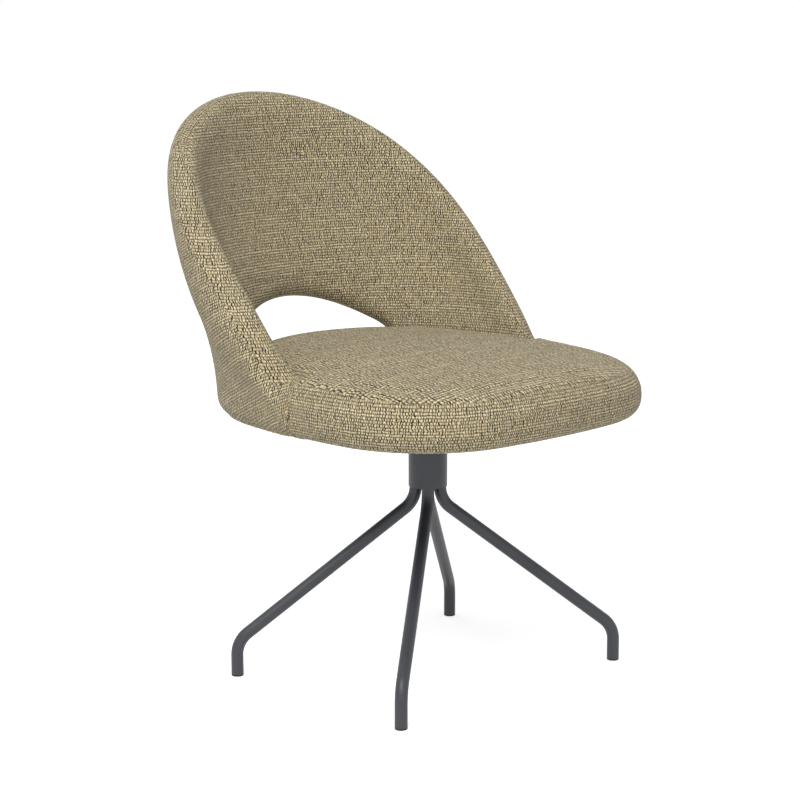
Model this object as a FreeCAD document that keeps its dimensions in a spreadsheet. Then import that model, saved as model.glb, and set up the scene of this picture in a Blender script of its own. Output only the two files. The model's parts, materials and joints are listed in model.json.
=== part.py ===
import FreeCAD, Part
import math
import os
import Sketcher

# Swivel dining chair: an upholstered seat with a wraparound back, on a base of
# four bent steel tubes. Millimetres, +Z up, front towards -Y. The origin is the
# point on the floor under the swivel axis. Left and right are the sitter's, so
# left is +X.

doc = FreeCAD.newDocument("swivel_dining_chair")
sheet = doc.addObject("Spreadsheet::Sheet", "sizes")

DRIVING_SIZES = [
    # Base frame
    ("tube_diameter", 18.0, "outside diameter of a leg tube"),
    ("tube_wall", 1.5, "wall of a leg tube"),
    ("foot_circle_radius", 280.1, "swivel axis to the middle of a foot"),
    ("foot_angle", 53.0, "foot direction, from the front-to-back line"),
    ("knee_height", 51.3, "where foot and slope would meet"),
    ("elbow_drop", 21.5, "where slope and hub stretch would meet, below the sleeve"),
    ("bend_radius", 40.0, "middle line of both tube bends"),
    ("glide_thickness", 3.0, "part of a glide under the tube"),
    ("glide_plug_length", 14.0, "part of a glide inside the tube"),
    ("glide_edge_radius", 1.2, "rounded lower edge of a glide"),
    # Hub
    ("collar_top_diameter", 57.0, "cover sleeve at the seat"),
    ("collar_bottom_diameter", 56.4, "cover sleeve at its lower end"),
    ("collar_wall", 1.2, "wall of the cover sleeve"),
    ("collar_length", 102.0, "cover sleeve"),
    ("collar_gap", 2.0, "cover sleeve to the level of the upholstery"),
    ("spacer_recess", 2.0, "plate that spaces the legs, inside the sleeve's lower end"),
    ("spacer_thickness", 4.0, "plate that spaces the legs"),
    ("leg_in_sleeve", 36.0, "upper end of the leg tubes, over the sleeve's lower end"),
    ("hub_disc_thickness", 6.0, "disc that carries the bearing tube"),
    ("housing_diameter", 44.0, "bearing tube"),
    ("spindle_diameter", 25.0, "swivel spindle"),
    ("spindle_shoulder_diameter", 44.0, "shoulder that carries the seat"),
    ("spindle_shoulder_thickness", 4.0, "shoulder that carries the seat"),
    ("bush_wall", 3.0, "wall of a plain bush"),
    ("bush_length", 18.0, "bush inside the bearing tube"),
    ("bush_flange", 2.0, "flange of the upper bush"),
    ("lower_bush_rise", 14.0, "lower bush above the hub disc"),
    ("thrust_washer_thickness", 2.0, "plain washer under the shoulder"),
    ("spindle_below_bush", 2.0, "spindle past the lower bush"),
    ("keeper_washer_thickness", 2.5, "washer that keeps the spindle in"),
    ("keeper_washer_gap", 0.5, "that washer inside the bearing tube"),
    ("keeper_bolt_diameter", 8.0, "screw in the end of the spindle"),
    ("keeper_bolt_length", 20.0, "screw in the end of the spindle"),
    ("keeper_head_diameter", 13.0, "head of that screw"),
    ("keeper_head_height", 8.0, "head of that screw"),
    ("keeper_key_width", 6.0, "hexagon socket in the head"),
    ("keeper_key_depth", 4.0, "hexagon socket in the head"),
    ("key_hole_radius", 8.0, "hole in the hub disc for the key"),
    ("spacer_radius", 19.0, "notched plate that spaces the legs"),
    # Fits
    ("running_gap", 0.05, "radial gap of the spindle in its bushes"),
    ("assembly_gap", 0.1, "gap between parts that push together"),
    ("soft_gap", 0.3, "gap round padding"),
    ("core_gap", 0.5, "gap round the moulded core"),
    ("cut_past", 1.0, "holes and pockets are cut this far past a face"),
    ("least_wall", 2.0, "least straight wall of the shell over its rounded foot"),
    ("least_core", 6.0, "least height of the core over the shell's rounded foot"),
    # Seat plate and board
    ("underside_height", 379.0, "lowest line of the upholstery"),
    ("skirt_depth", 7.0, "upholstery below the seat board"),
    ("board_thickness", 15.0, "plywood seat board"),
    ("dust_cover_thickness", 0.8, "cloth under the seat board"),
    ("dust_cover_margin", 3.0, "that cloth inside the board's edge"),
    ("plate_width", 190.0, "steel seat plate"),
    ("plate_thickness", 5.0, "steel seat plate"),
    ("plate_corner_radius", 22.0, "steel seat plate"),
    ("plate_bolt_spacing", 150.0, "square pattern of the seat bolts"),
    ("plate_bolt_diameter", 8.0, "seat bolts"),
    ("plate_bolt_head_width", 13.0, "across the flats"),
    ("plate_bolt_head_height", 5.3, "seat bolts"),
    ("tee_nut_flange_diameter", 22.0, "nuts let into the seat board"),
    ("tee_nut_flange", 1.5, "nuts let into the seat board"),
    ("tee_nut_barrel_diameter", 10.5, "nuts let into the seat board"),
    ("tee_nut_length", 11.0, "nuts let into the seat board"),
    # Outline of the upholstery at its widest level
    ("seat_half_width", 275.8, "middle line to the widest side point"),
    ("widest_place", -57.0, "front-to-back place of the widest point"),
    ("side_radius", 834.5, "gentle bulge of the sides"),
    ("front_reach", 270.3, "swivel axis to the front edge"),
    ("front_radius", 1072.0, "gentle bulge of the front"),
    ("front_corner_radius", 175.0, "front corners in plan"),
    ("rear_reach", 312.5, "swivel axis to the rear edge"),
    ("rear_bulge", 41.7, "radius of the rear, over the half width"),
    ("rear_corner_radius", 221.0, "rear corners in plan"),
    ("bottom_edge_radius", 28.0, "rounding of the lower edge"),
    # Seat cushion
    ("crown_rise", 101.0, "highest point of the seat over the upholstery's lowest line"),
    ("crown_place", 100.0, "front-to-back place of the highest point"),
    ("crown_radius", 2600.0, "dome of the seat"),
    ("crown_room", 20.0, "block over the dome before it is cut"),
    ("top_edge_radius", 44.0, "rounding of the upper edge"),
    ("let_in_edge_radius", 20.0, "upper edge of the cushion beside the back"),
    ("let_in_foot_radius", 3.0, "lower edge of the cushion beside the back"),
    # Back shell
    ("shell_thickness", 48.0, "padded wall of the back"),
    ("seam_place", -2.0, "front end of the arms at the seat side"),
    ("arm_flush_rise", 77.0, "top of the arm at its front end over the same line"),
    ("arm_lip", 4.0, "rounding of the arm's inner edge at its front end"),
    ("arm_blend_length", 62.0, "stretch in which the arm's edge grows round"),
    ("arm_blend_height", 14.0, "height in which the arm's top turns up into the rim"),
    ("arm_joint_place", 100.0, "flat joint between an arm's padding and the back's"),
    ("side_lean", 0.168, "outward lean of the sides, rise over run"),
    ("rear_lean", 0.222, "outward lean of the rear, rise over run"),
    ("lean_turn", 0.7, "heading of the wall, as a sine, from which it leans like the rear"),
    ("wall_swell", 0.046, "hollow and swell of the wall, per half height"),
    ("rim_place", 52.0, "front-to-back place where the rim line starts"),
    ("rim_rise", 81.0, "start of the rim line over the upholstery's lowest line"),
    ("rim_slope", 1.263, "slope of the rim line at its start"),
    ("rim_fall", 0.00059, "loss of slope along the rim line"),
    ("opening_half_width", 160.0, "opening between seat and back"),
    ("opening_spring_rise", 69.0, "widest level of the opening over the same line"),
    ("opening_end_radius", 34.0, "ends of the opening"),
    ("opening_crown_rise", 142.5, "highest point of the opening over the same line"),
    ("opening_sill_rise", 57.0, "lower edge of the opening over the same line"),
    ("opening_sill_radius", 10.0, "lower corners of the opening"),
    ("opening_edge_radius", 22.0, "rolled edge of the opening"),
    # Moulded core inside the back
    ("core_cover", 16.0, "padding outside the core"),
    ("core_thickness", 12.0, "moulded plywood core"),
    ("core_foot", 2.0, "core above the lowest line of the upholstery"),
    ("core_margin", 14.0, "core behind the padded edge of the opening"),
    ("core_drop", 6.0, "core below the middle of the rolled rim"),
    ("core_start", 22.0, "front end of the core behind the seam"),
    ("screw_diameter", 4.5, "screws from core to seat board"),
    ("screw_length", 45.0, "screws from core to seat board"),
    ("screw_head_diameter", 9.0, "screws from core to seat board"),
    ("screw_entry", 3.0, "screw hole past the head"),
]

# Each of these is worked out in the sheet from the sizes above.
DERIVED_SIZES = [
    ("tube_radius", "=tube_diameter / 2"),
    ("tube_bore_radius", "=tube_diameter / 2 - tube_wall"),
    ("glide_plug_radius", "=tube_bore_radius - assembly_gap"),
    ("glide_plug_top", "=glide_thickness + glide_plug_length"),
    ("collar_top", "=underside_height - collar_gap"),
    ("collar_bottom", "=collar_top - collar_length"),
    ("collar_outer_top", "=collar_top_diameter / 2"),
    ("collar_outer_bottom", "=collar_bottom_diameter / 2"),
    ("collar_inner_top", "=collar_outer_top - collar_wall"),
    ("collar_inner_bottom", "=collar_outer_bottom - collar_wall"),
    ("leg_top_radius", "=collar_inner_bottom - assembly_gap - tube_radius"),
    ("leg_top", "=collar_bottom + leg_in_sleeve"),
    ("elbow_height", "=collar_bottom - elbow_drop"),
    ("spacer_bottom", "=collar_bottom + spacer_recess"),
    ("hub_disc_radius", "=collar_inner_bottom - assembly_gap"),
    ("spacer_top", "=spacer_bottom + spacer_thickness"),
    ("hub_disc_top", "=leg_top + hub_disc_thickness"),
    ("board_bottom", "=underside_height + skirt_depth"),
    ("board_top", "=board_bottom + board_thickness"),
    ("plate_top", "=board_bottom - dust_cover_thickness"),
    ("plate_bottom", "=plate_top - plate_thickness"),
    ("shoulder_bottom", "=plate_bottom - spindle_shoulder_thickness"),
    ("thrust_washer_bottom", "=shoulder_bottom - thrust_washer_thickness"),
    ("housing_top", "=thrust_washer_bottom - bush_flange"),
    ("upper_bush_bottom", "=housing_top - bush_length"),
    ("housing_radius", "=housing_diameter / 2"),
    ("spindle_radius", "=spindle_diameter / 2"),
    ("shoulder_radius", "=spindle_shoulder_diameter / 2"),
    ("bush_bore_radius", "=spindle_radius + running_gap"),
    ("bush_outer_radius", "=bush_bore_radius + bush_wall"),
    ("housing_bore_radius", "=bush_outer_radius"),
    ("lower_bush_bottom", "=hub_disc_top + lower_bush_rise"),
    ("lower_bush_top", "=lower_bush_bottom + bush_length"),
    ("spindle_bottom", "=lower_bush_bottom - spindle_below_bush"),
    ("keeper_washer_bottom", "=spindle_bottom - keeper_washer_thickness"),
    ("keeper_washer_radius", "=housing_bore_radius - keeper_washer_gap"),
    ("keeper_bore_radius", "=keeper_bolt_diameter / 2 + assembly_gap"),
    ("keeper_bore_top", "=spindle_bottom + keeper_bolt_length"),
    ("thrust_bore_radius", "=spindle_radius + assembly_gap"),
    ("screw_height", "=board_bottom + board_thickness / 2"),
    ("core_inset", "=core_cover + core_thickness"),
    ("board_inset", "=core_inset + assembly_gap"),
    ("cover_inset", "=board_inset + dust_cover_margin"),
    ("pocket_inset", "=board_inset - soft_gap"),
    ("pocket_top", "=board_top + soft_gap"),
    ("recess_inset", "=shell_thickness + 2 * soft_gap"),
    ("rear_radius", "=seat_half_width + rear_bulge"),
    ("crown_height", "=underside_height + crown_rise"),
    ("arm_flush_height", "=underside_height + arm_flush_rise"),
    ("arm_edge_width", "=min(top_edge_radius; shell_thickness - arm_lip)"),
    ("rim_height", "=underside_height + rim_rise"),
    ("opening_spring_height", "=underside_height + opening_spring_rise"),
    ("opening_crown_height", "=underside_height + opening_crown_rise"),
    ("opening_sill_height", "=underside_height + opening_sill_rise"),
    ("opening_roll_radius", "=min(opening_edge_radius; shell_thickness / 2 - least_wall)"),
    ("opening_reach", "=opening_half_width - opening_end_radius"),
    ("opening_rise", "=opening_crown_height - opening_spring_height"),
    ("opening_crown_radius", "=(opening_reach ^ 2 + opening_rise ^ 2 - opening_end_radius ^ 2)"
     " / (2 * (opening_rise - opening_end_radius))"),
    ("core_bottom", "=underside_height + core_foot"),
    ("wall_foot", "=underside_height + bottom_edge_radius"),
]

FRONT, REAR = -1, 1
LEFT, RIGHT = 1, -1
SIDES = [("left", LEFT), ("right", RIGHT)]
PREFIX = "sizes."

# An edge is told by its box: less than this far from a level or a line is on it.
NEAR = 0.5

# Where sections stand, as shares of the side arc, the corner arc and half the
# rear arc. They are close together where the arm's edge grows round.
SIDE_SHARES = (0, 0.07, 0.15, 0.24, 0.34, 0.46, 0.6, 0.78)
CORNER_SHARES = (0, 0.25, 0.5, 0.75)
REAR_SHARES = (0, 0.33, 0.67, 1)

# The rim's height depends on where the leaning wall reaches it, so it is found
# in rounds.
RIM_ROUNDS = 40


def fill_sheet():
    row = 1
    for name, value, meaning in DRIVING_SIZES:
        sheet.set("A%d" % row, name)
        sheet.set("B%d" % row, str(value))
        sheet.set("C%d" % row, meaning)
        sheet.setAlias("B%d" % row, name)
        row += 1
    for name, formula in DERIVED_SIZES:
        sheet.set("A%d" % row, name)
        sheet.set("B%d" % row, formula)
        sheet.setAlias("B%d" % row, name)
        row += 1
    doc.recompute()


def size(name):
    return float(getattr(sheet, name))


def bind(thing, prop, expression):
    thing.setExpression(prop, expression)


# Sketches

def origin_plane(body, role):
    for feature in body.Origin.OriginFeatures:
        if feature.Role == role:
            return feature
    raise ValueError("no plane " + role)


def edges_of(shape, test):
    """Names of the edges of a shape that a test picks out."""
    return ["Edge%d" % i for i, edge in enumerate(shape.Edges, 1) if test(edge)]


def is_across(edge):
    """True for a straight edge that runs front to back."""
    box = edge.BoundBox
    return box.XLength < NEAR and box.ZLength < NEAR


def new_body(label):
    body = doc.addObject("PartDesign::Body", label)
    body.Label = label
    return body


def body_sketch(body, name, role):
    sketch = body.newObject("Sketcher::SketchObject", name)
    sketch.AttachmentSupport = [(origin_plane(body, role), "")]
    sketch.MapMode = "FlatFace"
    return sketch


def hold_point(sketch, line, end, across, height):
    """Holds a sketch point at two cells of the sheet; "0" means on the axis."""
    for kind, axis, cell in (("DistanceX", -2, across), ("DistanceY", -1, height)):
        if cell == "0":
            sketch.addConstraint(Sketcher.Constraint("PointOnObject", line, end, axis))
            continue
        index = sketch.addConstraint(Sketcher.Constraint(kind, -1, 1, line, end, size(cell)))
        bind(sketch, "Constraints[%d]" % index, PREFIX + cell)


def cell_value(cell):
    return 0.0 if cell == "0" else size(cell)


def polygon(sketch, corners):
    """Closed outline whose corners are pairs of sheet cells."""
    points = [FreeCAD.Vector(cell_value(a), cell_value(b), 0) for a, b in corners]
    count = len(points)
    for i in range(count):
        sketch.addGeometry(Part.LineSegment(points[i], points[(i + 1) % count]))
    for i in range(count):
        joint = Sketcher.Constraint("Coincident", i, 2, (i + 1) % count, 1)
        sketch.addConstraint(joint)
    for i, (across, height) in enumerate(corners):
        hold_point(sketch, i, 1, across, height)


def turned_body(label, corners):
    """A body of revolution about Z: corners are (radius, height) cells."""
    body = new_body(label)
    sketch = body_sketch(body, label + "_profile", "XZ_Plane")
    polygon(sketch, corners)
    turn = body.newObject("PartDesign::Revolution", label + "_turn")
    turn.Profile = sketch
    turn.ReferenceAxis = (sketch, ["V_Axis"])
    turn.Angle = 360
    sketch.Visibility = False
    return body


def add_circle(sketch, across, along, radius_expression, radius):
    circle = sketch.addGeometry(Part.Circle(FreeCAD.Vector(across[0], along[0], 0),
                                            FreeCAD.Vector(0, 0, 1), radius))
    for kind, axis, (value, expression) in (("DistanceX", -2, across), ("DistanceY", -1, along)):
        if expression == "0":
            sketch.addConstraint(Sketcher.Constraint("PointOnObject", circle, 3, axis))
            continue
        index = sketch.addConstraint(Sketcher.Constraint(kind, -1, 1, circle, 3, value))
        bind(sketch, "Constraints[%d]" % index, expression)
    index = sketch.addConstraint(Sketcher.Constraint("Radius", circle, radius))
    bind(sketch, "Constraints[%d]" % index, radius_expression)
    return circle


# Outline of the upholstery in plan: front, side and rear arcs joined by corner
# arcs, all tangent. An inset keeps the centres and shortens every radius.

def corner_centre(first, first_radius, second, second_radius, radius, end):
    """Centre of an arc that touches two larger arcs from inside."""
    gap = second - first
    length = gap.Length
    to_first = first_radius - radius
    to_second = second_radius - radius
    along = (to_first ** 2 - to_second ** 2 + length ** 2) / (2 * length)
    aside = math.sqrt(to_first ** 2 - along ** 2)
    unit = gap / length
    normal = FreeCAD.Vector(-unit.y, unit.x, 0)
    choices = [first + unit * along + normal * aside, first + unit * along - normal * aside]
    return max(choices, key=lambda centre: centre.y * end)


def outline_centres():
    side = FreeCAD.Vector(size("seat_half_width") - size("side_radius"), size("widest_place"), 0)
    front = FreeCAD.Vector(0, size("front_radius") - size("front_reach"), 0)
    rear = FreeCAD.Vector(0, size("rear_reach") - size("rear_radius"), 0)
    front_corner = corner_centre(front, size("front_radius"), side, size("side_radius"),
                                 size("front_corner_radius"), FRONT)
    rear_corner = corner_centre(rear, size("rear_radius"), side, size("side_radius"),
                                size("rear_corner_radius"), REAR)
    return front, front_corner, side, rear_corner, rear


def heading(start, end):
    return math.atan2(end.y - start.y, end.x - start.x)


def outline_sketch(sketch, inset_cell):
    """The whole outline, drawn in by one cell of the sheet, as eight tangent arcs."""
    inset = cell_value(inset_cell)
    front, front_corner, side, rear_corner, rear = outline_centres()
    mirrored = [FreeCAD.Vector(-p.x, p.y, 0) for p in (front_corner, side, rear_corner)]
    quarter = math.pi / 2
    lower = heading(front, front_corner)
    upper = heading(side, front_corner)
    higher = heading(side, rear_corner)
    top = heading(rear, rear_corner)
    full = 2 * math.pi
    arcs = [
        (front, "front_radius", -math.pi - lower, lower),
        (front_corner, "front_corner_radius", lower, upper),
        (side, "side_radius", upper, higher),
        (rear_corner, "rear_corner_radius", higher, top),
        (rear, "rear_radius", top, math.pi - top),
        (mirrored[2], "rear_corner_radius", math.pi - top, math.pi - higher),
        (mirrored[1], "side_radius", math.pi - higher, math.pi - upper),
        (mirrored[0], "front_corner_radius", math.pi - upper, math.pi - lower),
    ]
    for centre, cell, start, end in arcs:
        circle = Part.Circle(centre, FreeCAD.Vector(0, 0, 1), size(cell) - inset)
        sketch.addGeometry(Part.ArcOfCircle(circle, start % full, start % full + (end - start)))
    for i in range(8):
        sketch.addConstraint(Sketcher.Constraint("Tangent", i, 2, (i + 1) % 8, 1))
    shorter = "" if inset_cell == "0" else " - " + PREFIX + inset_cell
    for i in range(5):
        radius = size(arcs[i][1]) - inset
        index = sketch.addConstraint(Sketcher.Constraint("Radius", i, radius))
        bind(sketch, "Constraints[%d]" % index, PREFIX + arcs[i][1] + shorter)
    for i, twin in ((1, 7), (2, 6), (3, 5)):
        sketch.addConstraint(Sketcher.Constraint("Equal", i, twin))
    for i, formula in ((0, "sizes.front_radius - sizes.front_reach"),
                       (4, "sizes.rear_reach - sizes.rear_radius")):
        sketch.addConstraint(Sketcher.Constraint("PointOnObject", i, 3, -2))
        height = arcs[i][0].y
        index = sketch.addConstraint(Sketcher.Constraint("DistanceY", -1, 1, i, 3, height))
        bind(sketch, "Constraints[%d]" % index, formula)
    for i, sign in ((2, 1), (6, -1)):
        across = sign * side.x
        index = sketch.addConstraint(Sketcher.Constraint("DistanceX", -1, 1, i, 3, across))
        reach = "(sizes.seat_half_width - sizes.side_radius)"
        bind(sketch, "Constraints[%d]" % index, reach if sign > 0 else "-1 * " + reach)
        index = sketch.addConstraint(Sketcher.Constraint("DistanceY", -1, 1, i, 3, side.y))
        bind(sketch, "Constraints[%d]" % index, "sizes.widest_place")
    return sketch


def outline_prism(label, inset_cell, bottom, top):
    """A straight block with the outline's plan between two heights of the sheet."""
    plan = doc.addObject("Sketcher::SketchObject", label + "_plan")
    outline_sketch(plan, inset_cell)
    bind(plan, "Placement.Base.z", bottom)
    prism = doc.addObject("Part::Extrusion", label)
    prism.Base = plan
    prism.DirMode = "Custom"
    prism.Dir = FreeCAD.Vector(0, 0, 1)
    prism.Solid = True
    bind(prism, "LengthFwd", "%s - (%s)" % (top, bottom))
    plan.Visibility = False
    return prism


# Booleans of document objects

def boolean(kind, label, base, tool):
    result = doc.addObject(kind, label)
    result.Base = base
    result.Tool = tool
    result.Label = label
    base.Visibility = False
    tool.Visibility = False
    return result


def cut(label, base, tool):
    return boolean("Part::Cut", label, base, tool)


def fuse(label, base, tool):
    return boolean("Part::Fuse", label, base, tool)


def common(label, base, tool):
    return boolean("Part::Common", label, base, tool)


def cylinder(label, radius, height, bottom, across="0", along="0"):
    """A cylinder about a vertical axis; every size is an expression."""
    solid = doc.addObject("Part::Cylinder", label)
    bind(solid, "Radius", radius)
    bind(solid, "Height", height)
    bind(solid, "Placement.Base.x", across)
    bind(solid, "Placement.Base.y", along)
    bind(solid, "Placement.Base.z", bottom)
    return solid


def hexagon(label, width, height, bottom, across="0", along="0"):
    """A hexagonal block about a vertical axis, sized across its flats."""
    solid = doc.addObject("Part::Prism", label)
    solid.Polygon = 6
    bind(solid, "Circumradius", "%s / 2 / cos(30 deg)" % width)
    bind(solid, "Height", height)
    bind(solid, "Placement.Base.x", across)
    bind(solid, "Placement.Base.y", along)
    bind(solid, "Placement.Base.z", bottom)
    return solid


def group(label, members):
    bundle = doc.addObject("Part::Compound", label)
    bundle.Links = members
    bundle.Label = label
    for member in members:
        member.Visibility = False
    return bundle


# Legs

def leg_places():
    """Top and foot of each leg, with its name."""
    places = []
    top = size("leg_top_radius") / math.sqrt(2)
    turn = math.radians(size("foot_angle"))
    reach = size("foot_circle_radius")
    for end_name, end in (("front", FRONT), ("rear", REAR)):
        for side_name, side in SIDES:
            head = FreeCAD.Vector(side * top, end * top, 0)
            foot = FreeCAD.Vector(side * reach * math.sin(turn), end * reach * math.cos(turn), 0)
            places.append((end_name + "_" + side_name, head, foot))
    return places


def leg_spine(sketch, run):
    """Middle line of a tube, from the hub down to the floor, as a path that bends twice."""
    radius = size("bend_radius")
    top = FreeCAD.Vector(0, size("leg_top"), 0)
    elbow = FreeCAD.Vector(0, size("elbow_height"), 0)
    knee = FreeCAD.Vector(run, size("knee_height"), 0)
    foot = FreeCAD.Vector(run, size("glide_thickness"), 0)
    slope = (knee - elbow).normalize()
    down = FreeCAD.Vector(0, -1, 0)
    turn = math.acos(slope.dot(down))
    back = radius * math.tan(turn / 2)
    upper = (elbow - down * back, elbow + slope * back)
    lower = (knee - slope * back, knee + down * back)
    centre_upper = upper[0] + FreeCAD.Vector(radius, 0, 0)
    centre_lower = lower[1] - FreeCAD.Vector(radius, 0, 0)
    axis = FreeCAD.Vector(0, 0, 1)
    sketch.addGeometry(Part.LineSegment(top, upper[0]))
    sketch.addGeometry(Part.ArcOfCircle(Part.Circle(centre_upper, axis, radius),
                                        math.pi, math.pi + turn))
    sketch.addGeometry(Part.LineSegment(upper[1], lower[0]))
    sketch.addGeometry(Part.ArcOfCircle(Part.Circle(centre_lower, axis, radius), 0, turn))
    sketch.addGeometry(Part.LineSegment(lower[1], foot))
    for first, first_end, second, second_end in ((0, 2, 1, 1), (1, 2, 2, 1),
                                                 (2, 2, 3, 2), (3, 1, 4, 1)):
        sketch.addConstraint(Sketcher.Constraint("Tangent", first, first_end,
                                                 second, second_end))
    sketch.addConstraint(Sketcher.Constraint("Vertical", 0))
    sketch.addConstraint(Sketcher.Constraint("Vertical", 4))
    sketch.addConstraint(Sketcher.Constraint("PointOnObject", 0, 1, -2))
    corner_upper = sketch.addGeometry(Part.Point(elbow))
    corner_lower = sketch.addGeometry(Part.Point(knee))
    for corner in (corner_upper, corner_lower):
        sketch.setConstruction(corner, True)
        sketch.addConstraint(Sketcher.Constraint("PointOnObject", corner, 1, 2))
    sketch.addConstraint(Sketcher.Constraint("PointOnObject", corner_upper, 1, 0))
    sketch.addConstraint(Sketcher.Constraint("PointOnObject", corner_lower, 1, 4))
    bound = [
        (Sketcher.Constraint("DistanceY", -1, 1, 0, 1, top.y), "sizes.leg_top"),
        (Sketcher.Constraint("DistanceY", -1, 1, corner_upper, 1, elbow.y),
         "sizes.elbow_height"),
        (Sketcher.Constraint("DistanceX", -1, 1, 4, 2, run),
         "sqrt((sizes.foot_circle_radius * cos(sizes.foot_angle * 1 deg)"
         " - sizes.leg_top_radius * cos(45 deg)) ^ 2"
         " + (sizes.foot_circle_radius * sin(sizes.foot_angle * 1 deg)"
         " - sizes.leg_top_radius * cos(45 deg)) ^ 2)"),
        (Sketcher.Constraint("DistanceY", -1, 1, corner_lower, 1, knee.y),
         "sizes.knee_height"),
        (Sketcher.Constraint("DistanceY", -1, 1, 4, 2, foot.y), "sizes.glide_thickness"),
        (Sketcher.Constraint("Radius", 1, radius), "sizes.bend_radius"),
        (Sketcher.Constraint("Radius", 3, radius), "sizes.bend_radius"),
    ]
    for constraint, expression in bound:
        index = sketch.addConstraint(constraint)
        bind(sketch, "Constraints[%d]" % index, expression)


def make_leg(name, head, foot):
    """One bent tube: a ring swept along its middle line, in its own upright plane."""
    body = new_body("leg_" + name)
    ring = body_sketch(body, "leg_ring_" + name, "XY_Plane")
    for cell in ("tube_radius", "tube_bore_radius"):
        add_circle(ring, (0, "0"), (0, "0"), PREFIX + cell, size(cell))
    bind(ring, "AttachmentOffset.Base.z", "sizes.leg_top")
    spine = body_sketch(body, "leg_spine_" + name, "XZ_Plane")
    run = (foot - head).Length
    leg_spine(spine, run)
    doc.recompute()
    pipe = body.newObject("PartDesign::AdditivePipe", "leg_pipe_" + name)
    pipe.Profile = ring
    pipe.Spine = spine
    ring.Visibility = False
    spine.Visibility = False
    turn = math.degrees(heading(head, foot))
    body.Placement = FreeCAD.Placement(head, FreeCAD.Rotation(FreeCAD.Vector(0, 0, 1), turn))
    return body


def make_glide(name, foot):
    """Plug with a flat foot of the tube's own diameter, let into the tube's end."""
    body = turned_body("glide_" + name, [
        ("0", "0"), ("tube_radius", "0"), ("tube_radius", "glide_thickness"),
        ("glide_plug_radius", "glide_thickness"), ("glide_plug_radius", "glide_plug_top"),
        ("0", "glide_plug_top")])
    doc.recompute()
    turn = body.Tip

    def is_lowest(edge):
        return edge.BoundBox.ZMax < NEAR and edge.Length > size("tube_diameter")

    rounding = body.newObject("PartDesign::Fillet", "glide_edge_" + name)
    rounding.Base = (turn, edges_of(turn.Shape, is_lowest))
    bind(rounding, "Radius", "sizes.glide_edge_radius")
    body.Placement.Base = foot
    return body


# Hub, bearing and spindle

def make_hub_disc():
    """Disc welded on the four leg ends, with a hole for the key of the keeper screw."""
    return turned_body("hub_disc", [
        ("key_hole_radius", "leg_top"), ("hub_disc_radius", "leg_top"),
        ("hub_disc_radius", "hub_disc_top"), ("key_hole_radius", "hub_disc_top")])


def make_spacer():
    """Plate between the legs at the lower end of the hub, with a notch for each leg."""
    body = turned_body("leg_spacer", [
        ("0", "spacer_bottom"), ("spacer_radius", "spacer_bottom"),
        ("spacer_radius", "spacer_top"), ("0", "spacer_top")])
    sketch = body_sketch(body, "leg_spacer_notches", "XY_Plane")
    reach = size("leg_top_radius") / math.sqrt(2)
    radius = size("tube_radius") + size("assembly_gap")
    for across in (1, -1):
        for along in (1, -1):
            add_circle(sketch,
                       (across * reach, "%d * sizes.leg_top_radius / sqrt(2)" % across),
                       (along * reach, "%d * sizes.leg_top_radius / sqrt(2)" % along),
                       "sizes.tube_radius + sizes.assembly_gap", radius)
    bind(sketch, "AttachmentOffset.Base.z", "sizes.spacer_top")
    doc.recompute()
    notches = body.newObject("PartDesign::Pocket", "leg_spacer_cut")
    notches.Profile = sketch
    bind(notches, "Length", "sizes.spacer_thickness")
    sketch.Visibility = False
    return body


def make_hub():
    collar = turned_body("hub_collar", [
        ("collar_outer_bottom", "collar_bottom"), ("collar_outer_top", "collar_top"),
        ("collar_inner_top", "collar_top"), ("collar_inner_bottom", "collar_bottom")])
    spacer = make_spacer()
    disc = make_hub_disc()
    housing = turned_body("bearing_housing", [
        ("housing_bore_radius", "hub_disc_top"), ("housing_radius", "hub_disc_top"),
        ("housing_radius", "housing_top"), ("housing_bore_radius", "housing_top")])
    lower = turned_body("lower_bush", [
        ("bush_bore_radius", "lower_bush_bottom"), ("bush_outer_radius", "lower_bush_bottom"),
        ("bush_outer_radius", "lower_bush_top"), ("bush_bore_radius", "lower_bush_top")])
    upper = turned_body("upper_bush", [
        ("bush_bore_radius", "upper_bush_bottom"), ("bush_outer_radius", "upper_bush_bottom"),
        ("bush_outer_radius", "housing_top"), ("housing_radius", "housing_top"),
        ("housing_radius", "thrust_washer_bottom"), ("bush_bore_radius", "thrust_washer_bottom")])
    washer = turned_body("thrust_washer", [
        ("thrust_bore_radius", "thrust_washer_bottom"), ("housing_radius", "thrust_washer_bottom"),
        ("housing_radius", "shoulder_bottom"), ("thrust_bore_radius", "shoulder_bottom")])
    return [collar, spacer, disc, housing, lower, upper, washer]


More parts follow.
